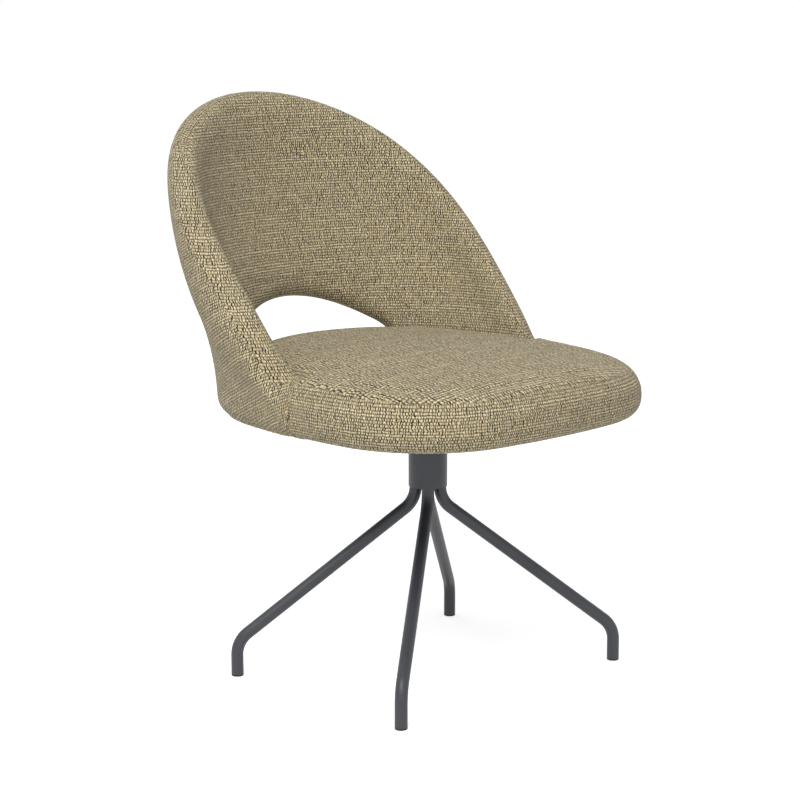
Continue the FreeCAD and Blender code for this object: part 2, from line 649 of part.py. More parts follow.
def make_spindle():
    spindle = turned_body("spindle", [
        ("keeper_bore_radius", "spindle_bottom"), ("spindle_radius", "spindle_bottom"),
        ("spindle_radius", "shoulder_bottom"), ("shoulder_radius", "shoulder_bottom"),
        ("shoulder_radius", "plate_bottom"), ("0", "plate_bottom"),
        ("0", "keeper_bore_top"), ("keeper_bore_radius", "keeper_bore_top")])
    keeper = turned_body("keeper_washer", [
        ("keeper_bore_radius", "keeper_washer_bottom"),
        ("keeper_washer_radius", "keeper_washer_bottom"),
        ("keeper_washer_radius", "spindle_bottom"), ("keeper_bore_radius", "spindle_bottom")])
    head_bottom = "sizes.keeper_washer_bottom - sizes.keeper_head_height"
    head = cylinder("keeper_head", "sizes.keeper_head_diameter / 2",
                    "sizes.keeper_head_height", head_bottom)
    shank = cylinder("keeper_shank", "sizes.keeper_bolt_diameter / 2",
                     "sizes.keeper_bolt_length", "sizes.keeper_washer_bottom")
    socket = hexagon("keeper_socket", "sizes.keeper_key_width",
                     "sizes.keeper_key_depth + sizes.cut_past",
                     head_bottom + " - sizes.cut_past")
    bolt = cut("keeper_screw", fuse("keeper_blank", head, shank), socket)
    return [spindle, keeper, bolt]


# Seat plate, board and fasteners

def bolt_corners():
    return [(across, along) for across in (1, -1) for along in (1, -1)]


def corner_place(sign):
    return "%d * sizes.plate_bolt_spacing / 2" % sign


def make_seat_plate():
    plate = doc.addObject("Part::Box", "seat_plate_blank")
    for side in ("Length", "Width"):
        bind(plate, side, "sizes.plate_width")
    bind(plate, "Height", "sizes.plate_thickness")
    bind(plate, "Placement.Base.x", "-1 * sizes.plate_width / 2")
    bind(plate, "Placement.Base.y", "-1 * sizes.plate_width / 2")
    bind(plate, "Placement.Base.z", "sizes.plate_bottom")
    doc.recompute()
    upright = [i for i, edge in enumerate(plate.Shape.Edges, 1)
               if edge.BoundBox.ZLength > size("plate_thickness") / 2]
    rounded = doc.addObject("Part::Fillet", "seat_plate_rounded")
    rounded.Base = plate
    radius = size("plate_corner_radius")
    rounded.Edges = [(i, radius, radius) for i in upright]
    plate.Visibility = False
    holes = []
    for i, (across, along) in enumerate(bolt_corners()):
        holes.append(cylinder("plate_hole_%d" % i,
                              "sizes.plate_bolt_diameter / 2 + 2 * sizes.assembly_gap",
                              "sizes.plate_thickness + 2 * sizes.cut_past",
                              "sizes.plate_bottom - sizes.cut_past",
                              corner_place(across), corner_place(along)))
    return cut("seat_plate", rounded, group("plate_holes", holes))


def make_seat_bolts():
    bolts = []
    for i, (across, along) in enumerate(bolt_corners()):
        place = (corner_place(across), corner_place(along))
        head = hexagon("seat_bolt_head_%d" % i, "sizes.plate_bolt_head_width",
                       "sizes.plate_bolt_head_height",
                       "sizes.plate_bottom - sizes.plate_bolt_head_height", *place)
        shank = cylinder("seat_bolt_shank_%d" % i, "sizes.plate_bolt_diameter / 2",
                         "sizes.board_top - sizes.tee_nut_flange - sizes.plate_bottom",
                         "sizes.plate_bottom", *place)
        bolts.append(fuse("seat_bolt_%d" % i, head, shank))
    return group("seat_bolts", bolts)


def tee_nut_solid(i, across, along, grown):
    """Flange and barrel of one nut, or the space for it when grown by a gap."""
    place = (corner_place(across), corner_place(along))
    tag = "space" if grown else "nut"
    more = " + sizes.assembly_gap" if grown else ""
    flange = cylinder("tee_%s_flange_%d" % (tag, i),
                      "sizes.tee_nut_flange_diameter / 2" + more,
                      "sizes.tee_nut_flange" + more,
                      "sizes.board_top - sizes.tee_nut_flange", *place)
    barrel = cylinder("tee_%s_barrel_%d" % (tag, i),
                      "sizes.tee_nut_barrel_diameter / 2" + more,
                      "sizes.tee_nut_length", "sizes.board_top - sizes.tee_nut_length", *place)
    return fuse("tee_%s_solid_%d" % (tag, i), flange, barrel)


def make_tee_nuts():
    nuts = []
    for i, (across, along) in enumerate(bolt_corners()):
        bore = cylinder("tee_nut_bore_%d" % i,
                        "sizes.plate_bolt_diameter / 2 + sizes.assembly_gap",
                        "sizes.tee_nut_length + 2 * sizes.cut_past",
                        "sizes.board_top - sizes.tee_nut_length - sizes.cut_past",
                        corner_place(across), corner_place(along))
        nuts.append(cut("tee_nut_%d" % i, tee_nut_solid(i, across, along, False), bore))
    return group("tee_nuts", nuts)


def make_seat_board(screw_spaces):
    blank = outline_prism("seat_board_blank", "board_inset", "sizes.board_bottom",
                          "sizes.board_top")
    spaces = [screw_spaces]
    for i, (across, along) in enumerate(bolt_corners()):
        spaces.append(tee_nut_solid(i, across, along, True))
        spaces.append(cylinder("board_hole_%d" % i,
                               "sizes.plate_bolt_diameter / 2 + 2 * sizes.assembly_gap",
                               "sizes.board_thickness + 2 * sizes.cut_past",
                               "sizes.board_bottom - sizes.cut_past",
                               corner_place(across), corner_place(along)))
    return cut("seat_board", blank, group("board_spaces", spaces))


def make_dust_cover():
    blank = outline_prism("dust_cover_blank", "cover_inset", "sizes.plate_top",
                          "sizes.board_bottom")
    holes = []
    for i, (across, along) in enumerate(bolt_corners()):
        holes.append(cylinder("cover_hole_%d" % i,
                              "sizes.plate_bolt_diameter / 2 + 2 * sizes.assembly_gap",
                              "sizes.dust_cover_thickness + 2 * sizes.cut_past",
                              "sizes.plate_top - sizes.cut_past",
                              corner_place(across), corner_place(along)))
    return cut("dust_cover", blank, group("cover_holes", holes))


# Seat cushion: a domed block with rounded edges, let in where the back's shell
# goes round it, and hollow underneath for the board.

def crown_profile(sketch):
    """Everything above the dome, as a half profile that turns about its middle."""
    radius = size("crown_radius")
    reach = size("seat_half_width") * 2
    sink = radius - math.sqrt(radius ** 2 - reach ** 2)
    top = size("crown_height") + 2 * size("crown_room")
    centre = FreeCAD.Vector(0, size("crown_height") - radius, 0)
    rim = FreeCAD.Vector(reach, size("crown_height") - sink, 0)
    angle = math.atan2(rim.y - centre.y, rim.x)
    circle = Part.Circle(centre, FreeCAD.Vector(0, 0, 1), radius)
    sketch.addGeometry(Part.ArcOfCircle(circle, angle, math.pi / 2))
    sketch.addGeometry(Part.LineSegment(FreeCAD.Vector(0, size("crown_height"), 0),
                                        FreeCAD.Vector(0, top, 0)))
    sketch.addGeometry(Part.LineSegment(FreeCAD.Vector(0, top, 0),
                                        FreeCAD.Vector(reach, top, 0)))
    sketch.addGeometry(Part.LineSegment(FreeCAD.Vector(reach, top, 0), rim))
    sketch.addConstraint(Sketcher.Constraint("Coincident", 0, 2, 1, 1))
    sketch.addConstraint(Sketcher.Constraint("Coincident", 1, 2, 2, 1))
    sketch.addConstraint(Sketcher.Constraint("Coincident", 2, 2, 3, 1))
    sketch.addConstraint(Sketcher.Constraint("Coincident", 3, 2, 0, 1))
    sketch.addConstraint(Sketcher.Constraint("PointOnObject", 0, 3, -2))
    sketch.addConstraint(Sketcher.Constraint("PointOnObject", 1, 1, -2))
    sketch.addConstraint(Sketcher.Constraint("PointOnObject", 1, 2, -2))
    sketch.addConstraint(Sketcher.Constraint("Horizontal", 2))
    sketch.addConstraint(Sketcher.Constraint("Vertical", 3))
    bound = [
        (Sketcher.Constraint("Radius", 0, radius), "sizes.crown_radius"),
        (Sketcher.Constraint("DistanceY", -1, 1, 1, 1, size("crown_height")),
         "sizes.crown_height"),
        (Sketcher.Constraint("DistanceY", -1, 1, 1, 2, top),
         "sizes.crown_height + 2 * sizes.crown_room"),
        (Sketcher.Constraint("DistanceX", -1, 1, 2, 2, reach), "sizes.seat_half_width * 2"),
    ]
    for constraint, expression in bound:
        index = sketch.addConstraint(constraint)
        bind(sketch, "Constraints[%d]" % index, expression)


def make_cushion_form(label, inset_cell, upper_cell, lower_cell):
    """A block of the outline's plan, domed on top, with rounded upper and lower edges."""
    body = new_body(label)
    plan = body_sketch(body, label + "_plan", "XY_Plane")
    outline_sketch(plan, inset_cell)
    bind(plan, "AttachmentOffset.Base.z", "sizes.underside_height")
    block = body.newObject("PartDesign::Pad", label + "_block")
    block.Profile = plan
    bind(block, "Length", "sizes.crown_height + sizes.crown_room - sizes.underside_height")
    dome = body_sketch(body, label + "_dome", "XZ_Plane")
    crown_profile(dome)
    bind(dome, "AttachmentOffset.Base.z", "-1 * sizes.crown_place")
    doc.recompute()
    trim = body.newObject("PartDesign::Groove", label + "_crown")
    trim.Profile = dome
    trim.ReferenceAxis = (dome, ["V_Axis"])
    trim.Angle = 360
    doc.recompute()
    if trim.Shape.BoundBox.ZMax > size("crown_height") + size("crown_room") / 2:
        raise ValueError("the crown was not cut")
    middle = (size("underside_height") + size("crown_height")) / 2

    def is_upper(edge):
        return edge.BoundBox.ZMin > middle

    def is_lower(edge):
        return edge.BoundBox.ZMax < size("underside_height") + NEAR

    upper = body.newObject("PartDesign::Fillet", label + "_upper_edge")
    upper.Base = (trim, edges_of(trim.Shape, is_upper))
    bind(upper, "Radius", PREFIX + upper_cell)
    doc.recompute()
    lower = body.newObject("PartDesign::Fillet", label + "_lower_edge")
    lower.Base = (upper, edges_of(upper.Shape, is_lower))
    bind(lower, "Radius", PREFIX + lower_cell)
    doc.recompute()
    plan.Visibility = False
    dome.Visibility = False
    return body


def large_block(label, place, end, across="-2 * sizes.seat_half_width"):
    """A block larger than the chair that ends, or starts, at a front-to-back place."""
    block = doc.addObject("Part::Box", label)
    for side in ("Length", "Width", "Height"):
        bind(block, side, "sizes.seat_half_width * 4")
    bind(block, "Placement.Base.x", across)
    back = " - sizes.seat_half_width * 4" if end == FRONT else ""
    bind(block, "Placement.Base.y", place + back)
    return block


def make_cushion():
    wide = make_cushion_form("cushion_wide", "0", "top_edge_radius", "bottom_edge_radius")
    narrow = make_cushion_form("cushion_narrow", "recess_inset", "let_in_edge_radius",
                               "let_in_foot_radius")
    seam = "sizes.seam_place - sizes.soft_gap"
    ahead = common("cushion_ahead", wide, large_block("ahead_of_seam", seam, FRONT))
    behind = common("cushion_behind", narrow, large_block("behind_seam", seam, REAR))
    pocket = outline_prism("cushion_pocket", "pocket_inset",
                           "sizes.underside_height - sizes.cut_past", "sizes.pocket_top")
    return cut("seat_cushion", fuse("cushion_whole", ahead, behind), pocket)


# Back shell. Upright stations follow the outline from one arm round the rear to
# the other, and a section stands on each: wall, rolled rim and rounded foot. Its
# padding is three pads, glued on flat joints under one cover.

class Station:
    """A place on the outline, with the outward direction and the wall's measures."""

    def __init__(self, base, normal):
        self.base = base
        self.normal = normal
        rise = 1 - (1 - min(1, max(0, normal.y) / size("lean_turn"))) ** 2
        self.lean = size("side_lean") + (size("rear_lean") - size("side_lean")) * rise
        self.rim = self.rim_centre()
        ahead = base.y - size("seam_place")
        share = min(1, max(0, ahead / size("arm_blend_length")))
        self.grown = share * share * (3 - 2 * share)

    def offset(self, height):
        return self.lean * (height - size("wall_foot"))

    def rim_centre(self):
        height = size("rim_height")
        for _ in range(RIM_ROUNDS):
            out = self.offset(height) - size("shell_thickness") / 2
            along = self.base.y + self.normal.y * out - size("rim_place")
            height = size("rim_height") + size("rim_slope") * along
            height -= size("rim_fall") * along * abs(along)
        return height

    def mirrored(self):
        base = FreeCAD.Vector(-self.base.x, self.base.y, 0)
        return Station(base, FreeCAD.Vector(-self.normal.x, self.normal.y, 0))

    def place(self, out, height):
        point = self.base + self.normal * out
        return FreeCAD.Vector(point.x, point.y, height)


def stations(first_place):
    """Stations of the left side from the arm's front end to the middle of the rear."""
    _, _, side, rear_corner, rear = outline_centres()
    side_radius = size("side_radius")
    start = math.asin((first_place - side.y) / side_radius)
    turn_in = heading(side, rear_corner)
    turn_out = heading(rear, rear_corner)
    found = []
    for share in SIDE_SHARES:
        found.append((side, side_radius, start + (turn_in - start) * share))
    for share in CORNER_SHARES:
        angle = turn_in + (turn_out - turn_in) * share
        found.append((rear_corner, size("rear_corner_radius"), angle))
    for share in REAR_SHARES:
        found.append((rear, size("rear_radius"), turn_out + (math.pi / 2 - turn_out) * share))
    result = []
    for centre, radius, angle in found:
        normal = FreeCAD.Vector(math.cos(angle), math.sin(angle), 0)
        result.append(Station(centre + normal * radius, normal))
    result[0].normal = FreeCAD.Vector(1, 0, 0)
    return result


def both_sides(left):
    """The same stations, and their mirror images, in order round the seat."""
    return left + [station.mirrored() for station in left[-2::-1]]


def wall_points(station, shift, top):
    """Five points of the swelling wall from its foot to a height, moved outward by shift."""
    foot = size("wall_foot")
    half = (top - foot) / 2
    swell = size("wall_swell") * half
    points = []
    for share, bulge in ((0, 0), (0.25, -1), (0.5, 0), (0.75, 1), (1, 0)):
        height = foot + share * (top - foot)
        points.append((station.offset(height) + bulge * swell + shift, height))
    return points


def arc_edge(station, points):
    places = [station.place(out, height) for out, height in points]
    return Part.Arc(*places).toShape()


def line_edge(station, first, second):
    return Part.LineSegment(station.place(*first), station.place(*second)).toShape()


def end_direction(points):
    """Unit direction, at its last point, of an arc through three points."""
    (x0, z0), (x1, z1), (x2, z2) = points
    chord = math.atan2(z2 - z0, x2 - x0)
    angle = 2 * math.atan2(z2 - z1, x2 - x1) - chord
    return math.cos(angle), math.sin(angle)


def quarter(station, centre, first, second):
    """A quarter of an ellipse, from centre + first to centre + second."""
    corner = (centre[0] + first[0] + second[0], centre[1] + first[1] + second[1])
    curve = Part.BezierCurve()
    curve.setPoles([station.place(centre[0] + first[0], centre[1] + first[1]),
                    station.place(*corner),
                    station.place(centre[0] + second[0], centre[1] + second[1])])
    curve.setWeight(2, math.sqrt(0.5))
    return curve.toShape()


def padded_section(station):
    """Section of the padded shell: foot, outer wall, rolled rim and inner wall."""
    thick = size("shell_thickness")
    half = thick / 2
    grown = station.grown
    edge = size("arm_edge_width")
    slope = size("rim_slope") * abs(station.normal.x)
    round_height = half * math.sqrt(1 + slope ** 2)
    outer_width = edge * (1 - grown) + half * grown
    inner_width = thick - outer_width
    outer_height = edge * (1 - grown) + round_height * grown
    inner_height = inner_width * (1 - grown) + round_height * grown
    top = station.rim + round_height
    flush = size("arm_flush_height")
    top = flush + blend_over(top - flush)
    foot = size("wall_foot")
    shoulder = max(top - outer_height, foot + size("least_wall"))
    outer = wall_points(station, 0, shoulder)
    lean_x, lean_z = end_direction(outer[2:])
    out_top, high_top = outer[4]
    centre = (out_top - outer_width * lean_z, high_top + outer_width * lean_x)
    inner_end = (centre[0] - inner_width * lean_z + (outer_height - inner_height) * lean_x,
                 centre[1] + inner_width * lean_x + (outer_height - inner_height) * lean_z)
    inner_centre = (centre[0] + (outer_height - inner_height) * lean_x,
                    centre[1] + (outer_height - inner_height) * lean_z)
    inner = wall_points(station, -thick, shoulder)
    bottom = size("underside_height")
    rounding = size("bottom_edge_radius")
    diagonal = rounding * (1 - math.sqrt(0.5))
    edges = [
        line_edge(station, (-thick, bottom), (-rounding, bottom)),
        arc_edge(station, [(-rounding, bottom), (-diagonal, bottom + diagonal), (0, foot)]),
        arc_edge(station, outer[0:3]),
        arc_edge(station, outer[2:5]),
        quarter(station, centre, (outer_width * lean_z, -outer_width * lean_x),
                        (outer_height * lean_x, outer_height * lean_z)),
        quarter(station, inner_centre, (inner_height * lean_x, inner_height * lean_z),
                        (-inner_width * lean_z, inner_width * lean_x)),
        arc_edge(station, [inner_end, inner[3], inner[2]]),
        arc_edge(station, [inner[2], inner[1], inner[0]]),
        line_edge(station, inner[0], (-thick, bottom)),
    ]
    return Part.Wire(edges)


def blend_over(excess):
    """A smooth step: nothing far below, the excess itself far above."""
    return (excess + math.sqrt(excess ** 2 + size("arm_blend_height") ** 2)) / 2


def loft(label, sections):
    form = doc.addObject("Part::Feature", label)
    form.Shape = Part.makeLoft(sections, True, False)
    return form


def core_section(station, grown, bottom):
    """Section of the moulded core, or of the space for it when grown by a gap."""
    outer_shift = grown - size("core_cover")
    inner_shift = -grown - size("core_inset")
    least = size("wall_foot") + size("least_core")
    top = max(station.rim - size("core_drop"), least) + grown
    outer = wall_points(station, outer_shift, top)
    inner = wall_points(station, inner_shift, top)
    edges = [
        line_edge(station, (inner_shift, bottom), (outer_shift, bottom)),
        line_edge(station, (outer_shift, bottom), outer[0]),
        arc_edge(station, outer[0:3]),
        arc_edge(station, outer[2:5]),
        line_edge(station, outer[4], inner[4]),
        arc_edge(station, [inner[4], inner[3], inner[2]]),
        arc_edge(station, [inner[2], inner[1], inner[0]]),
        line_edge(station, inner[0], (inner_shift, bottom)),
    ]
    return Part.Wire(edges)


def opening_tool(label, margin):
    """A block through the rear wall: a three-centred arch over a flat sill."""
    sketch = doc.addObject("Sketcher::SketchObject", label + "_arch")
    sketch.Placement = FreeCAD.Placement(FreeCAD.Vector(0, 0, 0),
                                         FreeCAD.Rotation(FreeCAD.Vector(1, 0, 0), 90))
    spring = size("opening_spring_height")
    reach = size("opening_reach")
    end_radius = size("opening_end_radius") + margin
    crown_radius = size("opening_crown_radius") + margin
    sill_radius = size("opening_sill_radius") + margin
    sill = size("opening_sill_height") - margin
    crown = FreeCAD.Vector(0, size("opening_crown_height") + margin - crown_radius, 0)
    axis = FreeCAD.Vector(0, 0, 1)
    end = FreeCAD.Vector(reach, spring, 0)
    top = heading(crown, end)
    low = sill + sill_radius
    corner = FreeCAD.Vector(
        reach + math.sqrt((end_radius - sill_radius) ** 2 - (low - spring) ** 2), low, 0)
    turn = heading(end, corner)

    def arc(centre, radius, start, stop):
        circle = Part.Circle(centre, axis, radius)
        return sketch.addGeometry(Part.ArcOfCircle(circle, start, stop))

    arc(crown, crown_radius, top, math.pi - top)
    arc(FreeCAD.Vector(-end.x, end.y, 0), end_radius, math.pi - top, math.pi - turn)
    arc(FreeCAD.Vector(-corner.x, corner.y, 0), sill_radius, math.pi - turn, math.pi * 1.5)
    sketch.addGeometry(Part.LineSegment(FreeCAD.Vector(-corner.x, sill, 0),
                                        FreeCAD.Vector(corner.x, sill, 0)))
    arc(corner, sill_radius, -math.pi / 2, turn)
    arc(end, end_radius, turn, top)
    for first in range(6):
        sketch.addConstraint(Sketcher.Constraint("Tangent", first, 2, (first + 1) % 6, 1))
    sketch.addConstraint(Sketcher.Constraint("Horizontal", 3))
    sketch.addConstraint(Sketcher.Constraint("Equal", 1, 5))
    sketch.addConstraint(Sketcher.Constraint("Equal", 2, 4))
    more = " + %s" % margin
    bound = [
        (Sketcher.Constraint("Radius", 0, crown_radius), "sizes.opening_crown_radius" + more),
        (Sketcher.Constraint("Radius", 5, end_radius), "sizes.opening_end_radius" + more),
        (Sketcher.Constraint("Radius", 4, sill_radius), "sizes.opening_sill_radius" + more),
        (Sketcher.Constraint("DistanceX", -1, 1, 5, 3, reach), "sizes.opening_reach"),
        (Sketcher.Constraint("DistanceX", -1, 1, 1, 3, -reach), "-1 * sizes.opening_reach"),
        (Sketcher.Constraint("DistanceY", -1, 1, 5, 3, spring), "sizes.opening_spring_height"),
        (Sketcher.Constraint("DistanceY", -1, 1, 1, 3, spring), "sizes.opening_spring_height"),
        (Sketcher.Constraint("DistanceY", -1, 1, 3, 1, sill),
         "sizes.opening_sill_height - %s" % margin),
    ]
    for constraint, expression in bound:
        index = sketch.addConstraint(constraint)
        bind(sketch, "Constraints[%d]" % index, expression)
    tool = doc.addObject("Part::Extrusion", label)
    tool.Base = sketch
    tool.DirMode = "Custom"
    tool.Dir = FreeCAD.Vector(0, 1, 0)
    tool.Solid = True
    bind(tool, "LengthFwd", "sizes.rear_reach * 2")
    bind(tool, "LengthRev", "-1 * sizes.rear_reach / 2")
    sketch.Visibility = False
    return tool


def make_back_padding():
    """The whole shell's padding, and its three pads: the back and the two arms."""
    sections = [padded_section(place) for place in both_sides(stations(size("seam_place")))]
    form = loft("back_form", sections)
    opened = cut("back_opened", form, opening_tool("back_opening", 0))
    doc.recompute()
    lowest = size("opening_sill_height") - NEAR
    highest = size("opening_crown_height") + NEAR
    reach = size("opening_half_width") + NEAR

    def on_opening(edge):
        box = edge.BoundBox
        inside = box.ZMin > lowest and box.ZMax < highest and box.YMin > 0
        inside = inside and abs(box.XMin) < reach and abs(box.XMax) < reach
        return inside and not is_across(edge)

    rolled = doc.addObject("Part::Fillet", "back_rolled")
    rolled.Base = opened
    radius = size("opening_roll_radius")
    rolled.Edges = [(i, radius, radius) for i, edge in enumerate(opened.Shape.Edges, 1)
                    if on_opening(edge)]
    opened.Visibility = False
    gap = size("core_gap")
    first = size("seam_place") + size("core_start")
    spaces = [core_section(place, gap, size("underside_height") - size("cut_past"))
              for place in both_sides(stations(first - gap))]
    space = cut("core_space", loft("core_space_form", spaces),
                opening_tool("core_space_opening", size("core_margin") - gap))
    hollow = cut("back_hollow", rolled, space)
    pocket = outline_prism("back_pocket", "pocket_inset",
                           "sizes.underside_height - sizes.cut_past", "sizes.pocket_top")
    whole = cut("back_whole", hollow, pocket)
    joint = "sizes.arm_joint_place"
    pads = [common("back_padding", whole, large_block("behind_joints", joint, REAR))]
    for name, across in (("left", "0"), ("right", "-4 * sizes.seat_half_width")):
        block = large_block("ahead_of_joint_" + name, joint, FRONT, across)
        pads.append(common("arm_padding_" + name, whole, block))
    return pads


def screw_stations():
    """Places of the core screws: four on each side of the rear."""
    left = stations(size("seam_place"))
    chosen = [left[4], left[6], left[9], left[12]]
    mirrored = [place.mirrored() for place in chosen]
    return chosen + mirrored[::-1]


def screw_solid(tag, station, grown):
    """Countersunk wood screw through the core into the edge of the board."""
    head = size("screw_head_diameter") / 2 + grown
    shank = size("screw_diameter") / 2 + grown
    start = station.place(-size("core_cover"), size("screw_height"))
    turn = FreeCAD.Rotation(FreeCAD.Vector(0, 0, 1), station.normal * -1)
    cone = doc.addObject("Part::Cone", "screw_head_" + tag)
    cone.Radius1 = head
    cone.Radius2 = shank
    cone.Height = head - shank
    cone.Placement = FreeCAD.Placement(start, turn)
    stem = doc.addObject("Part::Cylinder", "screw_stem_" + tag)
    stem.Radius = shank
    stem.Height = size("screw_length") + grown
    stem.Placement = FreeCAD.Placement(start, turn)
    return fuse("screw_" + tag, cone, stem)


def screw_space(tag, station):
    """The hole for one core screw, open past its head."""
    body = screw_solid(tag, station, size("assembly_gap"))
    entry = doc.addObject("Part::Cylinder", "screw_entry_" + tag)
    entry.Radius = size("screw_head_diameter") / 2 + size("assembly_gap")
    entry.Height = size("screw_entry")
    start = station.place(size("screw_entry") - size("core_cover"), size("screw_height"))
    turn = FreeCAD.Rotation(FreeCAD.Vector(0, 0, 1), station.normal * -1)
    entry.Placement = FreeCAD.Placement(start, turn)
    return fuse("screw_hole_" + tag, body, entry)


def make_back_core():
    first = size("seam_place") + size("core_start")
    sections = [core_section(place, 0, size("core_bottom"))
                for place in both_sides(stations(first))]
    opened = cut("core_opened", loft("core_form", sections),
                 opening_tool("core_opening", size("core_margin")))
    spaces = [screw_space("core_space_%d" % i, place)
              for i, place in enumerate(screw_stations())]
    return cut("back_core", opened, group("core_screw_spaces", spaces))


def make_screws():
    screws = [screw_solid("body_%d" % i, place, 0) for i, place in enumerate(screw_stations())]
    return group("core_screws", screws)


def make_screw_spaces():
    spaces = [screw_solid("board_space_%d" % i, place, size("assembly_gap"))
              for i, place in enumerate(screw_stations())]
    return group("board_screw_spaces", spaces)


fill_sheet()
produced = []
for leg_name, leg_head, leg_foot in leg_places():
    produced.append(make_leg(leg_name, leg_head, leg_foot))
    produced.append(make_glide(leg_name, leg_foot))
produced.extend(make_hub())
produced.extend(make_spindle())
produced.append(make_seat_plate())
produced.append(make_seat_bolts())
produced.append(make_tee_nuts())
produced.append(make_seat_board(make_screw_spaces()))
produced.append(make_dust_cover())
produced.append(make_screws())
produced.append(make_back_core())
produced.append(make_cushion())
produced.extend(make_back_padding())
doc.recompute()

for item in doc.Objects:
    if "Invalid" in item.State or "Error" in item.State:
        raise ValueError("failed: " + item.Name)

os.makedirs("parts", exist_ok=True)
for item in produced:
    shape = item.Shape
    if shape.isNull() or not shape.isValid():
        raise ValueError("bad shape: " + item.Label)
    shape.exportStep("parts/%s.step" % item.Label)
    print(item.Label, round(shape.Volume), len(shape.Solids))
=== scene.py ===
import json
import math

import bmesh
import bpy
import numpy as np
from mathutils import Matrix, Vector
from mathutils.bvhtree import BVHTree


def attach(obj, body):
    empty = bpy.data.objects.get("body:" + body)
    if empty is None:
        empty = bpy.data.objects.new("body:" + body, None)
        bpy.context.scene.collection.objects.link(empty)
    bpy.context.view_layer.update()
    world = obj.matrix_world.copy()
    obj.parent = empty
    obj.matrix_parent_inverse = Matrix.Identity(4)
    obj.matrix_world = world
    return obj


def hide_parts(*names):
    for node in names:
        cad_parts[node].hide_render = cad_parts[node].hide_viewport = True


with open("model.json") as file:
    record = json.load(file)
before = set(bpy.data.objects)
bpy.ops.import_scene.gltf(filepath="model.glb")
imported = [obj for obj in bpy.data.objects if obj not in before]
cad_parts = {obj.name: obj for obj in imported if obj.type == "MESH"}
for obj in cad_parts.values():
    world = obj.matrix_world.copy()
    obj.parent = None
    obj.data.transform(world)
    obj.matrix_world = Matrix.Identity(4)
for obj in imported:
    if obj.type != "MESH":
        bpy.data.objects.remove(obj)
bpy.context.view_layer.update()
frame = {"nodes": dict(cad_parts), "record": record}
scene = bpy.context.scene

# Camera: the photograph's place and angle, worked out from the four feet and the hub.

CAMERA_PLACE = (-2.17647, -2.11920, 0.95175)
CAMERA_PITCH = 10.28
CAMERA_HEADING = -45.0
FOCAL_PIXELS = 2139.0
IMAGE_WIDTH = 800
SENSOR = 36.0

view = bpy.data.cameras.new("camera")
view.sensor_width = SENSOR
view.lens = SENSOR * FOCAL_PIXELS / IMAGE_WIDTH
view.clip_start = 0.05
view.clip_end = 60.0
camera = bpy.data.objects.new("camera", view)
camera.location = CAMERA_PLACE
camera.rotation_euler = (math.radians(90 - CAMERA_PITCH), 0, math.radians(CAMERA_HEADING))
scene.collection.objects.link(camera)
scene.camera = camera


# Node helpers

class Graph:
    """Short names for the nodes of one material."""

    def __init__(self, name):
        self.material = bpy.data.materials.new(name)
        self.material.use_nodes = True
        self.tree = self.material.node_tree
        self.tree.nodes.clear()
        self.output = self.tree.nodes.new("ShaderNodeOutputMaterial")

    def node(self, kind, **facts):
        made = self.tree.nodes.new("ShaderNode" + kind)
        for key, value in facts.items():
            setattr(made, key, value)
        return made

    def plug(self, source, socket):
        """Joins a socket to another, or sets it to a plain value."""
        if isinstance(source, bpy.types.NodeSocket):
            self.tree.links.new(source, socket)
        else:
            socket.default_value = source

    def math(self, operation, *values, clamp=False):
        made = self.node("Math", operation=operation, use_clamp=clamp)
        for value, socket in zip(values, made.inputs):
            self.plug(value, socket)
        return made.outputs[0]

    def combine(self, x, y, z=0.0):
        made = self.node("CombineXYZ")
        for value, socket in zip((x, y, z), made.inputs):
            self.plug(value, socket)
        return made.outputs[0]

    def split(self, vector):
        made = self.node("SeparateXYZ")
        self.plug(vector, made.inputs[0])
        return made.outputs

    def noise(self, vector, scale, detail=2.0, rough=0.5):
        made = self.node("TexNoise")
        self.plug(vector, made.inputs["Vector"])
        made.inputs["Scale"].default_value = scale
        made.inputs["Detail"].default_value = detail
        made.inputs["Roughness"].default_value = rough
        return made.outputs["Fac"]

    def random(self, vector):
        made = self.node("TexWhiteNoise", noise_dimensions="2D")
        self.plug(vector, made.inputs["Vector"])
        return made.outputs["Value"]

    def ramp(self, value, low, high, to_low=0.0, to_high=1.0):
        """A smooth step from one number to another, as a value goes from low to high."""
        made = self.node("MapRange", clamp=True, interpolation_type="SMOOTHSTEP")
        for number, socket in zip((value, low, high, to_low, to_high), made.inputs):
            self.plug(number, socket)
        return made.outputs[0]

    def mix(self, share, first, second):
        made = self.node("Mix", data_type="RGBA")
        self.plug(share, made.inputs[0])
        self.plug(first, made.inputs[6])
        self.plug(second, made.inputs[7])
        return made.outputs[2]

    def blend(self, share, first, second):
        """A number between two others."""
        made = self.node("Mix", data_type="FLOAT")
        self.plug(share, made.inputs[0])
        self.plug(first, made.inputs[2])
        self.plug(second, made.inputs[3])
        return made.outputs[0]

    def bump(self, height, distance, strength):
        made = self.node("Bump")
        made.inputs["Distance"].default_value = distance
        made.inputs["Strength"].default_value = strength
        self.plug(height, made.inputs["Height"])
        return made.outputs["Normal"]

    def principled(self, **facts):
        made = self.node("BsdfPrincipled")
        for key, value in facts.items():
            self.plug(value, made.inputs[key.replace("_", " ")])
        self.plug(made.outputs[0], self.output.inputs["Surface"])


def linear(red, green, blue):
    """A colour from its 0 to 255 screen values."""
    found = []
    for value in (red, green, blue):
        share = value / 255
        found.append(share / 12.92 if share <= 0.04045 else ((share + 0.055) / 1.055) ** 2.4)
    return (*found, 1.0)


# Materials: lengths in metres, colours as screen values from 0 to 255

